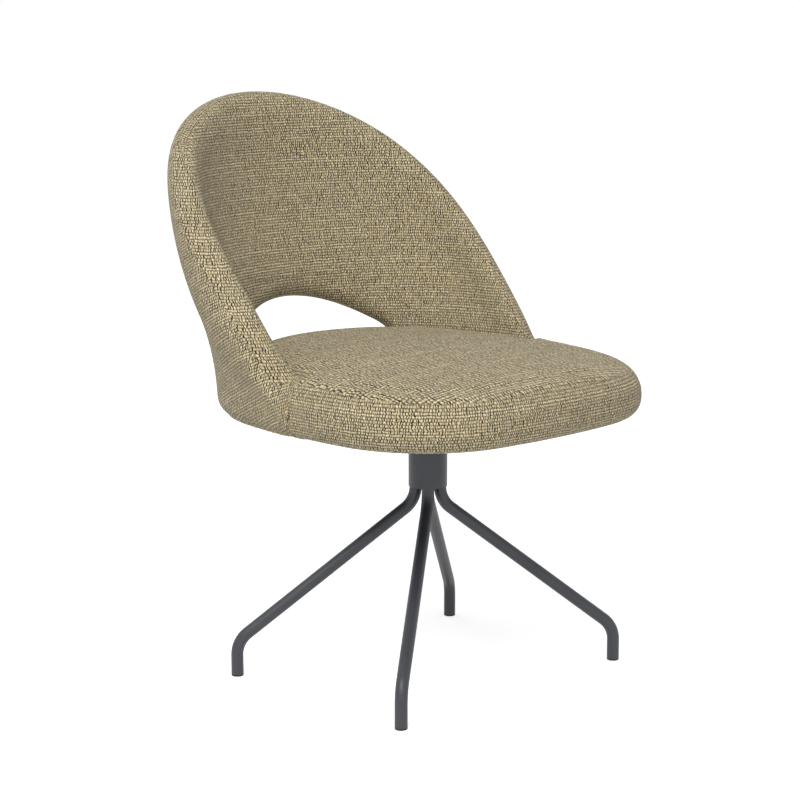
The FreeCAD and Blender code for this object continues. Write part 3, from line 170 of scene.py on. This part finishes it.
YARN_ROW = 0.0041  # from one row of yarns to the next
YARN_STEP = 0.0034  # from one yarn to the next in its row
ROW_WANDER = 0.0026  # how far a row strays up and down
STEP_WANDER = 1.5  # how far a yarn strays along its row, in steps
NUDGE = 0.4  # how far the gap between two yarns strays, in steps
SECOND_DRAW = 71.3  # shifts the rows, for a second random number of each yarn
THREAD_RUNS = 22.0  # how often in a metre a bright thread comes and goes
ROWS_REACH = 0.285  # radius round the seat at which the rows' map is to scale
ROWS_MIDDLE = 0.03  # how far behind the swivel axis the rows' middle lies
OUTER_SLANT = math.radians(22.7)  # climb of the outer rows towards the front
TOP_LOOSER = 1.55  # how much wider the weave is on the seat's top
# The two yarn colours are the ends of the yarn's tone. Besides each yarn's own tone, they carry
# painted highlight on the yarn crowns and painted shade at the row edges.
YARN_LIGHT = (228, 212, 175)
YARN_SHADE = (126, 115, 86)
# Colour of the gaps between yarns and rows: painted shade, also used for dark flecks in the fibre.
YARN_GAP_SHADE = (44, 36, 18)
VENEER = 0.0015
LINING_STEP = 0.0022


def weave(graph, along, across, seed):
    """Height and dark gap of a weave whose rows run along one coordinate, both in metres. The
    cover's colour follows them: painted highlight on the yarn crowns, painted shade in the gaps.
    """
    wander = graph.noise(graph.combine(along, across, seed), scale=90.0, detail=1.0)
    wander = graph.math("MULTIPLY_ADD", wander, ROW_WANDER, -ROW_WANDER / 2)
    row = graph.math("DIVIDE", graph.math("ADD", across, wander), YARN_ROW)
    row_index = graph.math("FLOOR", row)
    in_row = graph.math("ABSOLUTE", graph.math("SUBTRACT", graph.math("FRACT", row), 0.5))
    drift = graph.random(graph.combine(row_index, seed + 3.0))
    uneven = graph.noise(graph.combine(along, across, seed + 7.0), scale=190.0)
    uneven = graph.math("MULTIPLY_ADD", uneven, STEP_WANDER, -STEP_WANDER / 2)
    step = graph.math("ADD", graph.math("DIVIDE", along, YARN_STEP), drift)
    step = graph.math("ADD", step, uneven)
    step_index = graph.math("FLOOR", step)
    in_step = graph.math("SUBTRACT", graph.math("FRACT", step), 0.5)
    one_yarn = graph.random(graph.combine(step_index, row_index))
    other = graph.random(graph.combine(step_index, graph.math("ADD", row_index, SECOND_DRAW)))
    nudge = graph.math("MULTIPLY_ADD", other, NUDGE, graph.math("SUBTRACT", in_step, NUDGE / 2))
    # between and under mark the gaps beside and under each yarn. They sink the relief, and they set
    # the painted shade of the gaps in the cover's colour.
    between = graph.ramp(graph.math("ABSOLUTE", nudge), 0.08, 0.27, 1.0, 0.0)
    between = graph.math("MULTIPLY", between, graph.ramp(in_row, 0.34, 0.50, 1.0, 0.35))
    between = graph.math("MULTIPLY", between, graph.ramp(one_yarn, 0.0, 0.5, 0.2, 1.0))
    under = graph.math("MULTIPLY", graph.ramp(in_row, 0.30, 0.48),
                       graph.ramp(other, 0.15, 0.95, 0.0, 0.6))
    gap = graph.math("MAXIMUM", between, under)
    pulled = graph.ramp(graph.random(graph.combine(row_index, seed + 9.0)), 0.52, 0.66)
    run = graph.combine(graph.math("MULTIPLY", along, THREAD_RUNS), row_index, seed)
    length = graph.noise(run, scale=1.0, detail=1.0)
    pulled = graph.math("MULTIPLY", pulled, graph.ramp(length, 0.40, 0.56, 0.0, 0.85))
    thread = graph.math("MULTIPLY", graph.ramp(in_row, 0.08, 0.26, 1.0, 0.0), pulled)
    gap = graph.math("MULTIPLY", gap, graph.math("MULTIPLY_ADD", thread, -0.6, 1.0))
    # Each row is highest along its middle. Through the colour, this gives painted highlight on the
    # crown and painted shade towards its edges.
    crown_relief_and_highlight = graph.ramp(in_row, 0.0, 0.45, 1.0, 0.0)
    height = graph.math("MULTIPLY_ADD", crown_relief_and_highlight, 0.35, graph.math("MULTIPLY", one_yarn, 0.35))
    height = graph.math("MULTIPLY_ADD", gap, -0.7, height)
    height = graph.math("MULTIPLY_ADD", thread, 0.25, height)
    return height, gap


def cloth_material(name, round_back):
    """Coarse woven cover: beige yarn with painted highlight on its crowns, dark gaps between the
    yarns that are painted shade, and a few bright threads.

    Its rows go level round the seat and the inside of the back. On the outside of a round back they
    climb towards the front. The rim and the level parts have a map of their own, so that no part is
    stretched.
    """
    graph = Graph(name)
    place = graph.node("TexCoord")
    rows = graph.node("UVMap", uv_map="rows")
    along, across, _ = graph.split(rows.outputs[0])
    x, y, z = graph.split(place.outputs["Object"])
    normal_x, normal_y, normal_z = graph.split(place.outputs["Normal"])
    level = graph.ramp(graph.math("ABSOLUTE", normal_z), 0.74, 0.86)
    side = weave(graph, along, across, 1.0)
    if round_back:
        turn = graph.math("DIVIDE", along, ROWS_REACH)
        sine = graph.math("SINE", turn)
        cosine = graph.math("COSINE", turn)
        ahead = graph.math("SUBTRACT", y, ROWS_MIDDLE)
        square = graph.math("MULTIPLY_ADD", x, x, graph.math("MULTIPLY", ahead, ahead))
        radius = graph.math("SQRT", square)
        outward = graph.math("MULTIPLY_ADD", normal_x, sine,
                             graph.math("MULTIPLY", normal_y, cosine))
        round_it = graph.math("SUBTRACT", graph.math("MULTIPLY", normal_x, cosine),
                              graph.math("MULTIPLY", normal_y, sine))
        climb = graph.math("MULTIPLY_ADD", z, math.cos(OUTER_SLANT),
                           graph.math("MULTIPLY", y, math.sin(OUTER_SLANT)))
        outer = weave(graph, along, climb, 3.0)
        outside = graph.ramp(outward, 0.25, 0.45)
        side = [graph.blend(outside, first, second) for first, second in zip(side, outer)]
        rim = weave(graph, radius, z, 7.0)
        on_rim = graph.ramp(graph.math("ABSOLUTE", round_it), 0.46, 0.58)
        side = [graph.blend(on_rim, first, second) for first, second in zip(side, rim)]
        top = weave(graph, along, radius, 5.0)
    else:
        top = weave(graph, graph.math("DIVIDE", x, TOP_LOOSER),
                    graph.math("DIVIDE", y, TOP_LOOSER), 5.0)
    height, gap = [graph.blend(level, first, second) for first, second in zip(side, top)]
    fibre = graph.noise(place.outputs["Object"], scale=620.0, detail=3.0, rough=0.7)
    patch = graph.noise(place.outputs["Object"], scale=9.0)
    # Painted shade in the gaps between yarns, together with dark flecks from the fibre noise.
    gap_shade_and_fleck = graph.math("MULTIPLY_ADD", graph.math("SUBTRACT", fibre, 0.47), 1.5, gap, clamp=True)
    # Painted highlight on the higher parts of each yarn and painted shade on its lower edges,
    # together with each yarn's own tone and the fibre.
    light = graph.math("MULTIPLY_ADD", height, 0.7, graph.math("MULTIPLY", fibre, 1.1))
    yarn = graph.mix(graph.ramp(light, 0.35, 1.15), linear(*YARN_SHADE), linear(*YARN_LIGHT))
    colour = graph.mix(graph.ramp(gap_shade_and_fleck, 0.14, 0.80), yarn, linear(*YARN_GAP_SHADE))
    hue = graph.node("HueSaturation")
    graph.plug(graph.math("MULTIPLY_ADD", patch, 0.10, 0.95), hue.inputs["Value"])
    graph.plug(colour, hue.inputs["Color"])
    relief = graph.math("MULTIPLY_ADD", fibre, 0.4, height)
    normal = graph.bump(relief, distance=0.0012, strength=0.9)
    graph.principled(Base_Color=hue.outputs[0], Roughness=0.92, Normal=normal,
                     Sheen_Weight=0.12, Sheen_Roughness=0.5, Specular_IOR_Level=0.2)
    return graph.material


def coated_metal(name):
    """Satin graphite powder coat with its fine orange-peel texture."""
    graph = Graph(name)
    place = graph.node("TexCoord").outputs["Object"]
    grain = graph.noise(place, scale=1500.0)
    cloud = graph.noise(place, scale=25.0, detail=3.0)
    colour = graph.mix(cloud, linear(52, 54, 59), linear(66, 68, 73))
    rough = graph.math("MULTIPLY_ADD", grain, 0.16, 0.36)
    normal = graph.bump(grain, distance=0.00015, strength=0.5)
    graph.principled(Base_Color=colour, Metallic=0.2, Roughness=rough, Normal=normal)
    return graph.material


def bright_steel(name):
    """Zinc-plated hardware with faint turning marks."""
    graph = Graph(name)
    place = graph.node("TexCoord").outputs["Object"]
    x, y, z = graph.split(place)
    marks = graph.noise(graph.combine(x, y, graph.math("MULTIPLY", z, 12.0)), scale=400.0)
    cloud = graph.noise(place, scale=60.0)
    colour = graph.mix(cloud, linear(176, 178, 180), linear(205, 205, 200))
    rough = graph.math("MULTIPLY_ADD", marks, 0.25, 0.22)
    graph.principled(Base_Color=colour, Metallic=1.0, Roughness=rough,
                     Normal=graph.bump(marks, distance=0.0001, strength=0.4))
    return graph.material


def moulded_plastic(name, dark, pale, rough):
    """Plain plastic with a fine moulded grain."""
    graph = Graph(name)
    place = graph.node("TexCoord").outputs["Object"]
    speckle = graph.noise(place, scale=900.0)
    colour = graph.mix(graph.noise(place, scale=80.0), dark, pale)
    graph.principled(Base_Color=colour, Roughness=rough,
                     Normal=graph.bump(speckle, distance=0.0001, strength=0.4))
    return graph.material


def plywood(name):
    """Pale veneers in thin level layers, with grain in each."""
    graph = Graph(name)
    place = graph.node("TexCoord").outputs["Object"]
    x, y, z = graph.split(place)
    layer = graph.math("FLOOR", graph.math("DIVIDE", z, VENEER))
    stretched = graph.combine(graph.math("MULTIPLY", x, 6.0), graph.math("MULTIPLY", y, 60.0), layer)
    grain = graph.noise(stretched, scale=4.0, detail=4.0, rough=0.6)
    tint = graph.random(graph.combine(layer, 2.0))
    share = graph.math("MULTIPLY_ADD", tint, 0.4, graph.math("MULTIPLY", grain, 0.6))
    colour = graph.mix(share, linear(186, 148, 100), linear(224, 194, 148))
    graph.principled(Base_Color=colour, Roughness=0.7,
                     Normal=graph.bump(grain, distance=0.0003, strength=0.4))
    return graph.material


def lining(name):
    """Thin black dust cloth, pressed in small points."""
    graph = Graph(name)
    place = graph.node("TexCoord").outputs["Object"]
    x, y, _ = graph.split(place)
    points_x = graph.math("SINE", graph.math("MULTIPLY", x, math.tau / LINING_STEP))
    points_y = graph.math("SINE", graph.math("MULTIPLY", y, math.tau / LINING_STEP))
    points = graph.math("MULTIPLY", points_x, points_y)
    fibres = graph.noise(place, scale=700.0, detail=3.0, rough=0.7)
    colour = graph.mix(fibres, linear(22, 22, 23), linear(46, 46, 48))
    height = graph.math("MULTIPLY_ADD", points, 0.4, fibres)
    graph.principled(Base_Color=colour, Roughness=0.95,
                     Normal=graph.bump(height, distance=0.0003, strength=0.7))
    return graph.material


cover = cloth_material("woven_cover", False)
round_cover = cloth_material("woven_cover_round_back", True)
coat = coated_metal("graphite_coat")
steel = bright_steel("zinc_steel")
black_plastic = moulded_plastic("black_plastic", linear(20, 20, 21), linear(34, 34, 35), 0.5)
bush_plastic = moulded_plastic("bush_plastic", linear(196, 190, 170), linear(214, 208, 190), 0.35)
wood = plywood("plywood")
dust_cloth = lining("dust_cloth")

FINISHES = {
    "powder_coat": coat,
    "glide": black_plastic,
    "bush": bush_plastic,
    "zinc_steel": steel,
    "plywood": wood,
    "lining": dust_cloth,
    "upholstery": cover,
}

for entry in frame["record"]["subparts"]:
    node = frame["nodes"][entry["node"]]
    node.data.materials.clear()
    node.data.materials.append(FINISHES[entry["material_slot"]])


# Soft pieces: lengths in metres

VOXEL = 0.005
SMOOTH_SHARE = 0.5
SMOOTH_BACK = 1.04
FIRST_ROUNDS = 6
LAST_ROUNDS = 2
PUFF_FRAMES = 20
PUFF_CAP = 0.0012
CLOTH = {
    "use_pressure": True,
    "uniform_pressure_force": 4.0,
    "quality": 4,
    "mass": 0.3,
    "tension_stiffness": 25.0,
    "compression_stiffness": 25.0,
    "bending_stiffness": 2.0,
}
SEAM_REACH = 0.012  # the cover keeps to its CAD form this near to its neighbours
NEAR = 0.008
CLEARANCE = 0.0002  # from the neighbours
OVER_CORE = 0.0015  # from the plywood inside


def points_of(mesh):
    found = np.zeros(len(mesh.vertices) * 3, np.float64)
    mesh.vertices.foreach_get("co", found)
    return found.reshape(-1, 3)


def set_points(mesh, points):
    mesh.vertices.foreach_set("co", points.astype(np.float32).ravel())
    mesh.update()


def normals_of(mesh):
    found = np.zeros(len(mesh.vertices) * 3, np.float32)
    mesh.vertex_normals.foreach_get("vector", found)
    return found.reshape(-1, 3).astype(np.float64)


def applied(item):
    """Bakes an object's modifiers into its mesh."""
    graph = bpy.context.evaluated_depsgraph_get()
    mesh = bpy.data.meshes.new_from_object(item.evaluated_get(graph))
    item.modifiers.clear()
    old = item.data
    item.data = mesh
    bpy.data.meshes.remove(old)


def largest_island(mesh):
    """Keeps only the largest island of faces."""
    work = bmesh.new()
    work.from_mesh(mesh)
    left = set(work.verts)
    islands = []
    while left:
        first = left.pop()
        found = [first]
        queue = [first]
        while queue:
            for edge in queue.pop().link_edges:
                for other in edge.verts:
                    if other in left:
                        left.remove(other)
                        found.append(other)
                        queue.append(other)
        islands.append(found)
    islands.sort(key=len, reverse=True)
    drop = [point for island in islands[1:] for point in island]
    bmesh.ops.delete(work, geom=drop, context="VERTS")
    work.to_mesh(mesh)
    work.free()
    mesh.update()


def tree_of(*names):
    """A search tree over CAD nodes' faces."""
    points, faces = [], []
    for name in names:
        mesh = frame["nodes"][name].data
        start = len(points)
        points.extend(Vector(v.co) for v in mesh.vertices)
        faces.extend([start + i for i in p.vertices] for p in mesh.polygons)
    return BVHTree.FromPolygons(points, faces)


def soft_copy(name, nodes):
    """One closed skin round some CAD nodes, on an even net of quads."""
    parts = []
    for source in nodes:
        part = bpy.data.objects.new(name + "_" + source, frame["nodes"][source].data.copy())
        scene.collection.objects.link(part)
        parts.append(part)
    for part in bpy.context.selected_objects:
        part.select_set(False)
    for part in parts:
        part.select_set(True)
    bpy.context.view_layer.objects.active = parts[0]
    if len(parts) > 1:
        bpy.ops.object.join()
    item = parts[0]
    item.name = name
    item.data.name = name
    item.data.materials.clear()
    remesh = item.modifiers.new("net", "REMESH")
    remesh.mode = "VOXEL"
    remesh.voxel_size = VOXEL
    remesh.use_smooth_shade = True
    applied(item)
    largest_island(item.data)
    return item


def smooth_points(mesh, rounds):
    """Evens out the net's steps without shrinking it much."""
    edges = np.zeros(len(mesh.edges) * 2, np.int64)
    mesh.edges.foreach_get("vertices", edges)
    edges = edges.reshape(-1, 2)
    points = points_of(mesh)
    count = np.bincount(edges.ravel(), minlength=len(points))[:, None]
    for _ in range(rounds):
        for step in (SMOOTH_SHARE, -SMOOTH_SHARE * SMOOTH_BACK):
            total = np.zeros_like(points)
            np.add.at(total, edges[:, 0], points[edges[:, 1]])
            np.add.at(total, edges[:, 1], points[edges[:, 0]])
            points = points + step * (total / count - points)
    set_points(mesh, points)


def puff(item):
    """Swells the cover a little where its stuffing pushes most, and draws it in elsewhere."""
    mesh = item.data
    start = points_of(mesh)
    outward = normals_of(mesh)
    points = start
    cloth = item.modifiers.new("cloth", "CLOTH")
    for key, value in CLOTH.items():
        setattr(cloth.settings, key, value)
    cloth.settings.effector_weights.gravity = 0.0
    cloth.collision_settings.use_collision = False
    cloth.collision_settings.use_self_collision = False
    cloth.point_cache.frame_start = 1
    cloth.point_cache.frame_end = PUFF_FRAMES
    for number in range(1, PUFF_FRAMES + 1):
        scene.frame_set(number)
    graph = bpy.context.evaluated_depsgraph_get()
    after = points_of(item.evaluated_get(graph).data)
    item.modifiers.remove(cloth)
    scene.frame_set(1)
    swell = ((after - start) * outward).sum(axis=1)
    swell = np.clip(swell - np.median(swell), -PUFF_CAP, PUFF_CAP)
    points = start + outward * swell[:, None]
    set_points(mesh, points)


def close_seam(item, nodes, neighbours):
    """Draws the cover back onto its CAD form beside its neighbours, so that seams stay tight."""
    points = points_of(item.data)
    own = tree_of(*nodes)
    beside = tree_of(*neighbours)
    for i, point in enumerate(points):
        distance = beside.find_nearest(Vector(point), SEAM_REACH)[3]
        if distance is None:
            continue
        place = own.find_nearest(Vector(point))[0]
        share = min(1.0, 2 * (1 - distance / SEAM_REACH))
        points[i] += share * (np.array(place) - point)
    set_points(item.data, points)


def keep_clear(item, neighbours, gap):
    """Moves the cover out of the solids beside it or inside it."""
    points = points_of(item.data)
    tree = tree_of(*neighbours)
    for i, point in enumerate(points):
        place, normal, _, _ = tree.find_nearest(Vector(point), NEAR)
        if place is None:
            continue
        out = (Vector(point) - place).dot(normal)
        if out < gap:
            points[i] = np.array(place + normal * gap)
    set_points(item.data, points)


def round_net(item):
    """Doubles the net and shades it smooth."""
    finer = item.modifiers.new("finer", "SUBSURF")
    finer.levels = 1
    finer.render_levels = 1
    applied(item)
    for face in item.data.polygons:
        face.use_smooth = True


def lay_rows(item, cut_at_front):
    """A map of metres round the seat against height, for the weave's rows."""
    mesh = item.data
    points = points_of(mesh)
    ahead = points[:, 1] - ROWS_MIDDLE
    ahead = ahead if cut_at_front else -ahead
    angle = np.arctan2(points[:, 0], ahead)
    corners = np.zeros(len(mesh.loops), np.int64)
    mesh.loops.foreach_get("vertex_index", corners)
    starts = np.zeros(len(mesh.polygons), np.int64)
    totals = np.zeros(len(mesh.polygons), np.int64)
    mesh.polygons.foreach_get("loop_start", starts)
    mesh.polygons.foreach_get("loop_total", totals)
    owner = np.repeat(np.arange(len(starts)), totals)
    value = angle[corners]
    first = value[starts][owner]
    value = value + np.round((first - value) / math.tau) * math.tau
    rows = mesh.uv_layers.new(name="rows")
    flat = np.stack([value * ROWS_REACH, points[corners, 2]], axis=1)
    rows.data.foreach_set("uv", flat.astype(np.float32).ravel())


def make_soft(name, nodes, stands_for, neighbours, cut_at_front, finish):
    """A padded cover that takes the place of some CAD nodes."""
    item = soft_copy(name, nodes)
    smooth_points(item.data, FIRST_ROUNDS)
    puff(item)
    smooth_points(item.data, LAST_ROUNDS)
    close_seam(item, stands_for, neighbours)
    round_net(item)
    close_seam(item, stands_for, neighbours)
    keep_clear(item, neighbours, CLEARANCE)
    if "back_core" in nodes:
        keep_clear(item, ["back_core"], OVER_CORE)
    lay_rows(item, cut_at_front)
    item.data.materials.append(finish)
    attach(item, "seat")
    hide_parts(*stands_for)


BACK_PADS = ["back_padding", "arm_padding_left", "arm_padding_right"]

make_soft("back_cover", BACK_PADS + ["back_core"], BACK_PADS, ["seat_cushion"], True, round_cover)
make_soft("seat_cover", ["seat_cushion"], ["seat_cushion"], BACK_PADS, False, cover)


# Studio

FLOOR_HALF = 15.0
FLOOR_COLOUR = (0.8, 0.8, 0.8, 1)
FLOOR_GLOW = 0.64
WHITE = (1, 1, 1, 1)
WORLD_LIGHT = 0.48


def make_floor():
    mesh = bpy.data.meshes.new("floor")
    half = FLOOR_HALF
    mesh.from_pydata([(-half, -half, 0), (half, -half, 0), (half, half, 0), (-half, half, 0)],
                     [], [(0, 1, 2, 3)])
    mesh.materials.append(floor_material())
    item = bpy.data.objects.new("floor", mesh)
    scene.collection.objects.link(item)


def floor_material():
    """Pale matt floor that keeps shadows and looks white to camera, mirror and glass rays."""
    graph = Graph("pale_floor")
    matt = graph.node("BsdfDiffuse")
    matt.inputs["Color"].default_value = FLOOR_COLOUR
    glow = graph.node("Emission")
    glow.inputs["Color"].default_value = WHITE
    path = graph.node("LightPath")
    seen = graph.math("MAXIMUM", path.outputs["Is Camera Ray"], path.outputs["Is Glossy Ray"])
    seen = graph.math("MAXIMUM", seen, path.outputs["Is Transmission Ray"])
    graph.plug(graph.math("MULTIPLY", seen, FLOOR_GLOW), glow.inputs["Strength"])
    both = graph.node("AddShader")
    graph.plug(matt.outputs[0], both.inputs[0])
    graph.plug(glow.outputs[0], both.inputs[1])
    graph.plug(both.outputs[0], graph.output.inputs["Surface"])
    return graph.material


def make_world():
    """Even sky light that looks white to camera, mirror and glass rays."""
    world = bpy.data.worlds.new("studio")
    world.use_nodes = True
    tree = world.node_tree
    tree.nodes.clear()
    path = tree.nodes.new("ShaderNodeLightPath")
    seen = path.outputs["Is Camera Ray"]
    for ray in ("Is Transmission Ray", "Is Glossy Ray"):
        either = tree.nodes.new("ShaderNodeMath")
        either.operation = "MAXIMUM"
        tree.links.new(seen, either.inputs[0])
        tree.links.new(path.outputs[ray], either.inputs[1])
        seen = either.outputs[0]
    level = tree.nodes.new("ShaderNodeMapRange")
    level.inputs["To Min"].default_value = WORLD_LIGHT
    level.inputs["To Max"].default_value = 1.0
    tree.links.new(seen, level.inputs["Value"])
    sky = tree.nodes.new("ShaderNodeBackground")
    sky.inputs["Color"].default_value = WHITE
    tree.links.new(level.outputs[0], sky.inputs["Strength"])
    end = tree.nodes.new("ShaderNodeOutputWorld")
    tree.links.new(sky.outputs[0], end.inputs["Surface"])
    scene.world = world


def make_lamp(name, place, size, power):
    """Square soft lamp that faces the chair."""
    data = bpy.data.lights.new(name, "AREA")
    data.shape = "SQUARE"
    data.size = size
    data.energy = power
    item = bpy.data.objects.new(name, data)
    item.location = place
    item.rotation_mode = "QUATERNION"
    item.rotation_quaternion = (Vector(CHAIR) - Vector(place)).to_track_quat("-Z", "Y")
    scene.collection.objects.link(item)


# Middle of the chair, and each lamp's place, side in metres and power in watts

CHAIR = (0, 0, 0.45)
LAMPS = {
    "key": ((-2.5, -1.2, 3.5), 1.8, 118),
    "fill": ((-0.7, -3.4, 1.6), 2.4, 16),
    "rear": ((0.5, 2.8, 2.4), 1.8, 10),
}

make_floor()
make_world()
for lamp_name, facts in LAMPS.items():
    make_lamp(lamp_name, *facts)

scene.view_settings.view_transform = "Standard"
